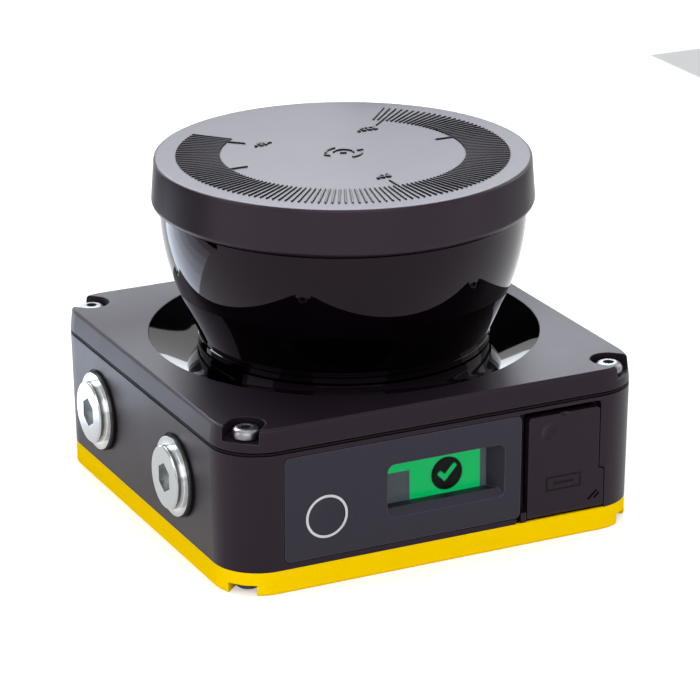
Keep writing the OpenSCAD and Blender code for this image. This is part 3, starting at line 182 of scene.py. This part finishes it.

# wear paints a highlight along the edges of these materials
MATERIALS = {
    "yellow_paint": material("yellow_paint", (0.97, 0.64, 0.0, 1), 0.55, var=0.02, grain=1800,
                             bump=0.25, bump_grain=3200, blotch_var=0.015, specular=0.0,
                             edge=0.0003, edge_highlight=0.1),
    "dark_housing": material("dark_housing", (0.0085, 0.0055, 0.0088, 1), 0.40, var=0.12,
                             grain=2600, rough_var=0.02, bump=0.3, bump_grain=3600,
                             blotch_var=0.03, specular=0.22, edge=0.0003, edge_highlight=7.0,
                             sheen_tint=PURPLE_SHEEN),
    "panel_plastic": material("panel_plastic", (0.0165, 0.0155, 0.024, 1), 0.42, var=0.1,
                              grain=2800, rough_var=0.02, bump=0.25, bump_grain=4200,
                              depth=0.000015, blotch_var=0.03, specular=0.28, edge=0.0003,
                              edge_highlight=8.0, sheen_tint=BLUE_SHEEN),
    "cap_plastic": material("cap_plastic", (0.012, 0.0085, 0.0125, 1), 0.34, var=0.08,
                            grain=2600, rough_var=0.01, bump=0.2, bump_grain=3600,
                            blotch_var=0.02, specular=0.28, edge=0.0003, edge_highlight=2.0,
                            sheen_tint=PURPLE_SHEEN),
    "gloss_cover": material("gloss_cover", (0.0010, 0.0006, 0.0010, 1), 0.03, var=0.2,
                            grain=300, rough_var=0.01, bump=0.04, bump_grain=120,
                            depth=0.00001, specular=0.2, sheen_tint=PURPLE_SHEEN),
    "black_rubber": material("black_rubber", (0.0024, 0.0022, 0.0024, 1), 0.6, var=0.15,
                             grain=2400, bump=0.5, bump_grain=5000, depth=0.00003,
                             specular=0.12),
    # painted light inside its recesses: shade_min above 1
    "bright_nickel": material("bright_nickel", (0.42, 0.43, 0.435, 1), 0.2, metallic=1.0,
                              var=0.05, grain=1500, rough_var=0.05, bump=0.2,
                              bump_grain=3000, edge=0.0002, shade_in=0.003, shade_min=1.9),
    # painted shade in its recesses
    "screw_steel": material("screw_steel", (0.22, 0.22, 0.225, 1), 0.34, metallic=1.0,
                            var=0.06, grain=2000, rough_var=0.08, bump=0.2,
                            bump_grain=4000, edge=0.00015, shade_in=0.0012),
    "black_steel": material("black_steel", (0.03, 0.03, 0.033, 1), 0.38, metallic=0.7,
                            var=0.12, grain=2000, bump=0.2),
    "clear_window": clear("clear_window", (0.93, 0.95, 0.95, 1), ior=1.15),
    "lit_display": material("lit_display", (0.02, 0.03, 0.028, 1), 0.3, var=0.05, grain=4000),
    "white_plastic": material("white_plastic", srgb(225, 224, 220), 0.5, var=0.03),
    "circuit_board": material("circuit_board", srgb(26, 98, 58), 0.35, var=0.15, grain=1200,
                              bump=0.3, bump_grain=1500),
    "black_plastic": material("black_plastic", srgb(28, 27, 29), 0.5, var=0.12, grain=2500),
    "cast_aluminium": material("cast_aluminium", (0.56, 0.57, 0.58, 1), 0.42, metallic=1.0,
                               var=0.08, grain=1400, bump=0.5, bump_grain=1800,
                               depth=0.00004),
    "motor_steel": material("motor_steel", (0.38, 0.39, 0.41, 1), 0.33, metallic=1.0,
                            var=0.07, grain=1800, bump=0.2),
    "magnet": material("magnet", srgb(58, 58, 62), 0.55, var=0.1, grain=2200),
    "copper_wire": material("copper_wire", (0.62, 0.25, 0.11, 1), 0.3, metallic=1.0,
                            var=0.12, grain=900, bump=0.9, bump_grain=600, depth=0.00012,
                            stretch=(1, 1, 7)),
    "gold_pins": material("gold_pins", (0.85, 0.60, 0.26, 1), 0.22, metallic=1.0, var=0.05,
                          grain=2600, bump=0.1),
    "clear_lens": clear("clear_lens", (0.9, 0.95, 0.97, 1), rough=0.01, ior=1.5),
    "mirror_face": material("mirror_face", (0.92, 0.93, 0.94, 1), 0.02, metallic=1.0,
                            var=0.01, rough_var=0.008, bump=0.0),
    "ribbon": material("ribbon", (0.42, 0.16, 0.03, 1), 0.4, var=0.08, grain=700, bump=0.2,
                       stretch=(9, 1, 1)),
}
PRINT_WHITE = material("print_white", srgb(205, 205, 210), 0.5, var=0.03, grain=4000,
                       bump=0.1)
# the flap's moulded marks: colours darker than the flap, painted shade of their relief
PAINTED_SHADE_DARK = material("painted_shade_dark", srgb(9, 7, 9), 0.8, var=0.08, grain=4000, bump=0.1,
                     specular=0.0)
PAINTED_SHADE_SOFT = material("painted_shade_soft", (0.0045, 0.003, 0.0045, 1), 0.55, var=0.08, grain=4000,
                     bump=0.1, specular=0.12)
# painted shade: the cap's plastic at half its colour and with less gloss, so the raised scale,
# digits and mark read darker than the cap
SHADED_RIB_PLASTIC = material("shaded_rib_plastic", (0.006, 0.004, 0.006, 1), 0.34, var=0.08, grain=2600,
                       rough_var=0.01, bump=0.1, bump_grain=3600, blotch_var=0.02,
                       specular=0.2, sheen_tint=PURPLE_SHEEN)
LCD_GREEN = glowing("lcd_green", (0.0, 0.38, 0.095, 1), 0.95)
LCD_GREY = glowing("lcd_grey", (0.055, 0.065, 0.075, 1), 0.8)
LCD_BLACK = material("lcd_black", (0.001, 0.0012, 0.001, 1), 0.4, var=0.1, specular=0.05)

# every node has its slot's look, apart from two that differ in the photo
SLOTS = {s["node"]: s["material_slot"] for s in frame["record"]["subparts"]}
OTHER_LOOK = {"top_cap": "cap_plastic", "socket_flap": "dark_housing"}
for name, ob in frame["nodes"].items():
    look = MATERIALS[OTHER_LOOK.get(name, SLOTS[name])]
    if not ob.material_slots:
        ob.data.materials.append(look)
    for s in ob.material_slots:
        s.material = look


# ---------------------------------------------------------------- helpers

def finish_piece(name, bm, looks, body):
    """Turns the mesh into a visible piece that rides on the body. looks is a list."""
    me = bpy.data.meshes.new(name)
    bmesh.ops.recalc_face_normals(bm, faces=bm.faces[:])
    bm.to_mesh(me)
    bm.free()
    for p in me.polygons:
        p.use_smooth = False
    ob = bpy.data.objects.new(name, me)
    bpy.context.scene.collection.objects.link(ob)
    for look in looks:
        me.materials.append(look)
    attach(ob, body)


def plate(bm, outline, to_world, thick, mat=0, holes=()):
    """Thin plate: a closed outline in mm on a plane, raised by thick mm along its normal."""
    edges = []
    for loop in (outline,) + tuple(holes):
        vs = [bm.verts.new(to_world @ Vector((x * MM, y * MM, 0))) for x, y in loop]
        edges += [bm.edges.new((vs[i], vs[(i + 1) % len(vs)])) for i in range(len(vs))]
    made = bmesh.ops.triangle_fill(bm, use_beauty=True, edges=edges)["geom"]
    faces = [g for g in made if isinstance(g, bmesh.types.BMFace)]
    grown = bmesh.ops.extrude_face_region(bm, geom=faces)["geom"]
    shift = to_world.to_3x3() @ Vector((0, 0, thick * MM))
    bmesh.ops.translate(bm, vec=shift,
                        verts=[g for g in grown if isinstance(g, bmesh.types.BMVert)])
    for f in faces:
        f.material_index = mat
    for g in grown:
        if isinstance(g, bmesh.types.BMFace):
            g.material_index = mat
            for e in g.edges:
                for side in e.link_faces:
                    side.material_index = mat


def loft(bm, rings):
    """Closed skin over a row of rings that have equal counts of corners."""
    count = len(rings[0])
    for one, two in zip(rings, rings[1:]):
        for k in range(count):
            bm.faces.new((one[k], one[(k + 1) % count], two[(k + 1) % count], two[k]))
    bm.faces.new(rings[0][::-1])
    bm.faces.new(rings[-1])


def circle(cx, cy, r, n=64, start=0, sweep=360):
    """Points on a circle, or with a smaller sweep on an arc with both its ends."""
    count = n if sweep == 360 else n + 1
    return [(cx + r * math.cos(math.radians(start + sweep * i / n)),
             cy + r * math.sin(math.radians(start + sweep * i / n)))
            for i in range(count)]


def bar(x0, y0, x1, y1, w):
    """Corners of a straight bar of width w from one point to another."""
    dx, dy = x1 - x0, y1 - y0
    n = math.hypot(dx, dy)
    ox, oy = -dy / n * w / 2, dx / n * w / 2
    return [(x0 + ox, y0 + oy), (x0 - ox, y0 - oy), (x1 - ox, y1 - oy), (x1 + ox, y1 + oy)]


def box(x0, y0, x1, y1):
    """Corners of a rectangle."""
    return [(x0, y0), (x1, y0), (x1, y1), (x0, y1)]


def move(x=0.0, y=0.0, z=0.0):
    """Shift in mm."""
    return Matrix.Translation((x * MM, y * MM, z * MM))


# Planes on the front: x runs to the right, y up and z towards the viewer. The housing's
# front leans out towards its top.
UPRIGHT = Matrix.Rotation(math.pi / 2, 4, "X")
LEAN_OUT = 0.5
house_lo, house_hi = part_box("housing")
foot_y = house_lo[1] / MM + LEAN_OUT
foot_z = house_lo[2] / MM
lean = math.atan(LEAN_OUT / (house_hi[2] / MM - foot_z))
FRONT = move(0, foot_y, foot_z) @ Matrix.Rotation(lean, 4, "X") @ UPRIGHT @ move(0, -foot_z)

# ------------------------------------------------- pale ring round the button

RING_IN, RING_OUT = 4.42, 5.0
PRINT_THICK = 0.02
button_lo, button_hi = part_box("menu_button")
button_x = (button_lo[0] + button_hi[0]) / 2 / MM
button_z = (button_lo[2] + button_hi[2]) / 2 / MM
bm = bmesh.new()
plate(bm, circle(button_x, button_z, RING_OUT, 96), FRONT, PRINT_THICK,
      holes=[circle(button_x, button_z, RING_IN, 96)])
finish_piece("button_ring_print", bm, [PRINT_WHITE], ROOT)

# -------------------------------------------------------- picture on the display

GREEN, GREY, BLACK = 0, 1, 2
GREEN_X0, GREEN_X1 = -6.13, 11.27      # the green field, with grey fields beside it
BAR_Z0, BAR_Z1 = 21.38, 23.48          # green bar over the left grey field
DISC_X, DISC_Z, DISC_R = 3.02, 18.98, 3.87
TICK_MARK = [(-2.35, 0.05), (-1.55, 0.85), (-0.55, -0.2), (1.75, 2.25), (2.5, 1.5),
             (-0.55, -1.85)]
INSET_LEFT, INSET_RIGHT = 0.47, 1.53   # from the window's edges to the picture's
INSET_LOW, INSET_TOP = 0.68, 0.72
LAYER = 0.03                           # from one layer of the picture to the next
SUNK = 0.01                            # how deep the picture's back sits in the glass
window_lo, window_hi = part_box("display_window")
picture_x0 = window_lo[0] / MM + INSET_LEFT
picture_z0 = window_lo[2] / MM + INSET_LOW
picture_x1 = window_hi[0] / MM - INSET_RIGHT
picture_z1 = window_hi[2] / MM - INSET_TOP
glass = move(0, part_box("display_glass")[0][1] / MM + SUNK) @ UPRIGHT
bm = bmesh.new()
for x0, z0, x1, z1, colour, layer in (
        (picture_x0, picture_z0, GREEN_X0, picture_z1, GREY, 0),
        (GREEN_X0, picture_z0, GREEN_X1, picture_z1, GREEN, 0),
        (GREEN_X1, picture_z0, picture_x1, picture_z1, GREY, 0),
        (picture_x0, BAR_Z0, GREEN_X0, BAR_Z1, GREEN, 1)):
    plate(bm, box(x0, z0, x1, z1), glass @ move(z=layer * LAYER), PRINT_THICK, colour)
plate(bm, circle(DISC_X, DISC_Z, DISC_R, 72), glass @ move(z=LAYER), PRINT_THICK, BLACK)
plate(bm, [(DISC_X + x, DISC_Z + z) for x, z in TICK_MARK], glass @ move(z=2 * LAYER),
      PRINT_THICK, GREEN)
finish_piece("display_picture", bm, [LCD_GREEN, LCD_GREY, LCD_BLACK], ROOT)

# ------------------------------------------------------------ scale on the cap

AXIS_X, AXIS_Y = 1.0, 1.9
CAP_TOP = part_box("top_cap")[1][2] / MM
top_plane = move(AXIS_X, AXIS_Y, CAP_TOP)
SCALE_STEP, SCALE_FROM, SCALE_TO = 2.25, -229.5, 49.5
SCALE_IN, SCALE_OUT, LONG_IN = 27.7, 37.9, 23.5
LONG_AT = (-225, -180, -90, 0, 45)
GROOVE_W, GROOVE_DEPTH = 0.5, 0.25

# the marks stand proud as narrow ribs with some draft, each rooted in its groove of the solid
RIB_UP, RIB_FOOT, RIB_TOP, ROOT_SLACK = 0.3, 0.34, 0.22, 0.02
root_w = GROOVE_W - 2 * ROOT_SLACK
RIB_SECTION = (  # height, width and how far the ends stay back
    (ROOT_SLACK - GROOVE_DEPTH, root_w, ROOT_SLACK),
    (0.0, root_w, ROOT_SLACK),
    (0.0, RIB_FOOT, (GROOVE_W - RIB_FOOT) / 2),
    (RIB_UP, RIB_TOP, (GROOVE_W - RIB_TOP) / 2))
bm = bmesh.new()
for i in range(round((SCALE_TO - SCALE_FROM) / SCALE_STEP) + 1):
    angle = SCALE_FROM + i * SCALE_STEP
    inner = LONG_IN if angle in LONG_AT else SCALE_IN
    spoke = top_plane @ Matrix.Rotation(math.radians(angle), 4, "Z")
    loft(bm, [[bm.verts.new(spoke @ Vector((x * MM, y * MM, z * MM)))
               for x, y in box(inner + back, -w / 2, SCALE_OUT - back, w / 2)]
              for z, w, back in RIB_SECTION])
finish_piece("scale_ribs", bm, [SHADED_RIB_PLASTIC], ROOT)

# plain numbers, upright for someone behind the scanner
DIGIT_H, DIGIT_BOLDER = 2.9, 0.03
DIGITS = (("90\u00b0", 0.96, -18.3), ("225\u00b0", 14.04, 16.6), ("-45\u00b0", -12.37, 16.4))


def raised_text(bm, text, x, y):
    """Adds the text to bm as raised letters, centred at a point of the cap's top."""
    curve = bpy.data.curves.new("digits", "FONT")
    curve.body = text
    curve.size = DIGIT_H * MM
    curve.align_x = "CENTER"
    curve.align_y = "CENTER"
    curve.extrude = RIB_UP * MM / 2
    curve.offset = DIGIT_BOLDER * MM
    tmp = bpy.data.objects.new("digits_tmp", curve)
    bpy.context.scene.collection.objects.link(tmp)
    view = bpy.context.evaluated_depsgraph_get()
    me = bpy.data.meshes.new_from_object(tmp.evaluated_get(view))
    bpy.data.objects.remove(tmp)
    me.transform(move(x, y, CAP_TOP + RIB_UP / 2) @ Matrix.Rotation(math.pi, 4, "Z"))
    bm.from_mesh(me)


bm = bmesh.new()
for text, x, y in DIGITS:
    raised_text(bm, text, x, y)
finish_piece("scale_numbers", bm, [SHADED_RIB_PLASTIC], ROOT)

# ------------------------------------------------- rotation mark on the cap

MARK_X, MARK_Y = 0.3, 0.2                         # from the scan axis
TURN_R, TURN_W = 4.1, 0.55                        # two arcs with an arrow head each
TURN_STARTS, TURN_SWEEP = (-86, 94), 68
ARROW_FOOT, ARROW_TIP, ARROW_HALF = 84, 104, 0.8  # degrees from the arc's start, mm
EYE_R, EYE_W, EYE_START, EYE_SWEEP = 2.3, 0.4, -25, 175
LEVER, LEVER_W = (-0.9, 0.1, 0.5, -0.5), 0.5      # short bar in the middle
ARC_STEPS = 24


def arc_band(bm, r, start, sweep, width, to_world):
    """Adds a raised band along an arc round the plane's origin."""
    outer = circle(0, 0, r + width / 2, ARC_STEPS, start, sweep)
    inner = circle(0, 0, r - width / 2, ARC_STEPS, start, sweep)
    plate(bm, outer + inner[::-1], to_world, RIB_UP)


def polar(r, angle):
    """Point at a radius and an angle in degrees."""
    return (r * math.cos(math.radians(angle)), r * math.sin(math.radians(angle)))


bm = bmesh.new()
mark_plane = top_plane @ move(MARK_X, MARK_Y)
for start in TURN_STARTS:
    arc_band(bm, TURN_R, start, TURN_SWEEP, TURN_W, mark_plane)
    plate(bm, [polar(TURN_R, start + ARROW_TIP), polar(TURN_R + ARROW_HALF, start + ARROW_FOOT),
               polar(TURN_R - ARROW_HALF, start + ARROW_FOOT)], mark_plane, RIB_UP)
arc_band(bm, EYE_R, EYE_START, EYE_SWEEP, EYE_W, mark_plane)
plate(bm, bar(*LEVER, LEVER_W), mark_plane, RIB_UP)
finish_piece("rotation_mark", bm, [SHADED_RIB_PLASTIC], ROOT)

# ------------------------------------------------- moulded marks on the flap, painted darker as shade

# a plain socket outline with its contact bar, and two grip strokes: low moulded relief whose
# colour is darkened as painted shade
SIGN_X, SIGN_Z, SIGN_HALF_W, SIGN_HALF_H, SIGN_LINE = 30.0, 13.6, 4.4, 1.7, 0.35
CONTACT_HALF_W, CONTACT_HALF_H = 2.6, 0.3
STROKES = ((36.4, 8.1, 38.6, 10.1), (38.0, 8.3, 39.2, 9.4))
STROKE_W, MOULD_UP = 0.4, 0.06


def around_sign(half_w, half_h):
    return box(SIGN_X - half_w, SIGN_Z - half_h, SIGN_X + half_w, SIGN_Z + half_h)


bm = bmesh.new()
plate(bm, around_sign(SIGN_HALF_W, SIGN_HALF_H), FRONT, MOULD_UP,
      holes=[around_sign(SIGN_HALF_W - SIGN_LINE, SIGN_HALF_H - SIGN_LINE)])
plate(bm, around_sign(CONTACT_HALF_W, CONTACT_HALF_H), FRONT, MOULD_UP)
for stroke in STROKES:
    plate(bm, bar(*stroke, STROKE_W), FRONT, MOULD_UP, 1)
finish_piece("flap_marks", bm, [PAINTED_SHADE_SOFT, PAINTED_SHADE_DARK], "flap")

# ------------------------------------------------------ connector threads

PITCH, RIDGE, RIDGE_ROOT, RIDGE_HALF = 1.0, 0.14, 0.03, 0.42
PER_TURN, RUN_OUT = 48, 12           # steps
PLAIN_FRONT, PLAIN_END = 1.4, 1.0    # stretches of the barrel without a thread


def thread(name, connector, r, length):
    """Fine outer thread along a rear connector, as one closed helical ridge."""
    lo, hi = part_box(connector)
    cx, cz = (lo[0] + hi[0]) / 2, (lo[2] + hi[2]) / 2
    y0 = hi[1] / MM - length + PLAIN_FRONT
    y1 = hi[1] / MM - PLAIN_END
    bm = bmesh.new()
    count = int((y1 - y0) / PITCH * PER_TURN)
    rings = []
    for i in range(count + 1):
        a = 2 * math.pi * i / PER_TURN
        y = y0 + PITCH * i / PER_TURN
        rise = RIDGE * min(1, i / RUN_OUT, (count - i) / RUN_OUT)
        section = ((r - RIDGE_ROOT, -PITCH * RIDGE_HALF), (r + rise, 0.0),
                   (r - RIDGE_ROOT, PITCH * RIDGE_HALF))
        rings.append([bm.verts.new((cx + q * MM * math.cos(a), (y + dy) * MM,
                                    cz + q * MM * math.sin(a))) for q, dy in section])
    loft(bm, rings)
    finish_piece(name, bm, [MATERIALS["bright_nickel"]], ROOT)


thread("power_thread", "power_connector", 6.0, 8.5)
thread("network_thread", "network_connector", 7.4, 7.5)

# ------------------------------------------------------------------ camera

AZIMUTH, ELEVATION, ROLL = (math.radians(v) for v in (-25.790, 19.992, -0.326))
DISTANCE, TO_RIGHT, TO_UP = 777.011, 1.428, -6.152  # mm from the middle of the scanner
MIDDLE_Z = 40
back = Vector((math.sin(AZIMUTH) * math.cos(ELEVATION),
               -math.cos(AZIMUTH) * math.cos(ELEVATION), math.sin(ELEVATION)))
right = Vector((math.cos(AZIMUTH), math.sin(AZIMUTH), 0))
up = back.cross(right)
spot = Vector((0, 0, MIDDLE_Z)) + back * DISTANCE + right * TO_RIGHT + up * TO_UP
rolled_right = right * math.cos(ROLL) + up * math.sin(ROLL)
rolled_up = up * math.cos(ROLL) - right * math.sin(ROLL)
cam_data = bpy.data.cameras.new("camera")
cam = bpy.data.objects.new("camera", cam_data)
bpy.context.scene.collection.objects.link(cam)
turn = Matrix((rolled_right, rolled_up, back)).transposed().to_4x4()
cam.matrix_world = Matrix.Translation(spot * MM) @ turn
cam_data.sensor_width = 36
cam_data.lens = 174.336789
cam_data.clip_start = 0.01
cam_data.clip_end = 20
bpy.context.scene.camera = cam


# ------------------------------------------------------------ floor, world

def seen_background(nt):
    """1 for rays from the camera and for those that mirror-like or clear surfaces send on."""
    path = node(nt, "ShaderNodeLightPath")
    total = path.outputs["Is Camera Ray"]
    for kind in ("Is Glossy Ray", "Is Transmission Ray"):
        most = node(nt, "ShaderNodeMath", operation="MAXIMUM")
        nt.links.new(total, most.inputs[0])
        nt.links.new(path.outputs[kind], most.inputs[1])
        total = most.outputs[0]
    return total


FLOOR_RADIUS, FLOOR_DROP, FLOOR_GLOW = 3.0, 0.00002, 0.42
WORLD_LIGHT, WORLD_SEEN = 0.5, 1.0  # as a light, and as the white background
floor_mat = bpy.data.materials.new("floor")
floor_mat.use_nodes = True
nt = floor_mat.node_tree
nt.nodes.clear()
diffuse = node(nt, "ShaderNodeBsdfDiffuse", Color=(0.82, 0.82, 0.82, 1))
glow = node(nt, "ShaderNodeEmission", Color=(1, 1, 1, 1))
seen = node(nt, "ShaderNodeMath", operation="MULTIPLY")
nt.links.new(seen_background(nt), seen.inputs[0])
seen.inputs[1].default_value = FLOOR_GLOW
nt.links.new(seen.outputs[0], glow.inputs["Strength"])
both = node(nt, "ShaderNodeAddShader")
nt.links.new(diffuse.outputs[0], both.inputs[0])
nt.links.new(glow.outputs[0], both.inputs[1])
surface = node(nt, "ShaderNodeOutputMaterial")
nt.links.new(both.outputs[0], surface.inputs["Surface"])
bm = bmesh.new()
bmesh.ops.create_circle(bm, cap_ends=True, segments=96, radius=FLOOR_RADIUS)
me = bpy.data.meshes.new("floor")
bm.to_mesh(me)
bm.free()
floor = bpy.data.objects.new("floor", me)
bpy.context.scene.collection.objects.link(floor)
me.materials.append(floor_mat)
floor.location = (0, 0, -FLOOR_DROP)

world = bpy.data.worlds.new("world")
bpy.context.scene.world = world
world.use_nodes = True
nt = world.node_tree
nt.nodes.clear()
sky = node(nt, "ShaderNodeBackground", Color=(1, 1, 1, 1))
strength = remap(nt, seen_background(nt), 0.0, 1.0, WORLD_LIGHT, WORLD_SEEN)
nt.links.new(strength, sky.inputs["Strength"])
surround = node(nt, "ShaderNodeOutputWorld")
nt.links.new(sky.outputs[0], surround.inputs["Surface"])


# ------------------------------------------------------------ cards, lamps

CARD = material("card", (0.004, 0.004, 0.004, 1), 0.9, var=0.05, grain=30, bump=0.0,
                specular=0.0)


def dark_card(name, lo, hi):
    """Black studio card from corner lo to corner hi, flat along the axis where they agree.
    It keeps the white surroundings out of part of the gloss and isn't seen itself."""
    a, b = (k for k in range(3) if lo[k] != hi[k])
    corners = []
    for end_a, end_b in ((lo, lo), (hi, lo), (hi, hi), (lo, hi)):
        corner = list(lo)
        corner[a], corner[b] = end_a[a], end_b[b]
        corners.append(corner)
    me = bpy.data.meshes.new(name)
    me.from_pydata(corners, [], [(0, 1, 2, 3)])
    me.materials.append(CARD)
    ob = bpy.data.objects.new(name, me)
    bpy.context.scene.collection.objects.link(ob)
    ob.visible_camera = False
    ob.visible_shadow = False


def softbox(name, place, aim, w, h, radiance, tint=(1, 1, 1), sheen_only=False):
    """Soft rectangular lamp, w wide and h high, that faces aim. With sheen_only it shows in
    gloss and sheen and lights no colour."""
    data = bpy.data.lights.new(name, "AREA")
    data.shape = "RECTANGLE"
    data.size = w
    data.size_y = h
    data.energy = radiance * math.pi * w * h
    data.color = tint
    ob = bpy.data.objects.new(name, data)
    bpy.context.scene.collection.objects.link(ob)
    ob.location = place
    ob.rotation_euler = (Vector(aim) - Vector(place)).to_track_quat("-Z", "Y").to_euler()
    ob.visible_camera = False
    ob.visible_diffuse = not sheen_only


# The three upright cards are the dark room that the dish mirrors, and the two that lie on the
# floor darken the ends of the cap.
dark_card("card_back", (-0.06, 0.12, 0.079), (0.2, 0.12, 0.101))
dark_card("card_back_side", (0.06, 0.12, 0.101), (0.1, 0.12, 0.118))
dark_card("card_floor_right", (0.26, -0.2, 0.0005), (0.46, 0.3, 0.0005))
dark_card("card_floor_left", (-0.25, 0.235, 0.0005), (-0.03, 0.42, 0.0005))
dark_card("card_left", (-0.2, 0.05, 0), (-0.2, 0.34, 0.14))

AIM = (0, 0, 0.05)
COOL = (0.92, 1.0, 1.08)
softbox("back_box", (0.12, 1.15, 0.96), AIM, 1.5, 0.85, 2.0, COOL)
softbox("back_sheen", (0.12, 1.18, 0.985), AIM, 1.54, 0.87, 5.7, COOL, sheen_only=True)
softbox("low_box", (0.35, 1.2, 0.16), AIM, 2.0, 0.22, 2.6, COOL)

# strips that face up from the floor for the left face, fading outwards
STRIP_X, STRIP_Y, STRIP_Z, STRIP_W, STRIP_L = -0.072, 0.14, 0.001, 0.024, 0.15
STRIP_TINT = (0.79, 0.94, 1.15)
for number, radiance in enumerate((2.6, 2.3, 1.8, 1.2, 0.6)):
    x = STRIP_X - STRIP_W * number
    softbox("floor_box_%d" % number, (x, STRIP_Y, STRIP_Z), (x, STRIP_Y, 1), STRIP_W, STRIP_L,
            radiance, STRIP_TINT)

softbox("left_box", (-1.1, 0.05, 0.5), AIM, 0.5, 0.8, 2.2)
softbox("right_box", (1.1, 0.1, 0.5), AIM, 0.5, 0.8, 2.0)
softbox("front_box", (-0.5, -1.3, 0.9), (0, 0, 0.03), 1.6, 1.2, 2.0)
softbox("top_box", (0, -0.1, 1.5), AIM, 0.9, 0.9, 1.0)

bpy.context.scene.view_settings.view_transform = "Standard"

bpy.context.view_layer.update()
import json
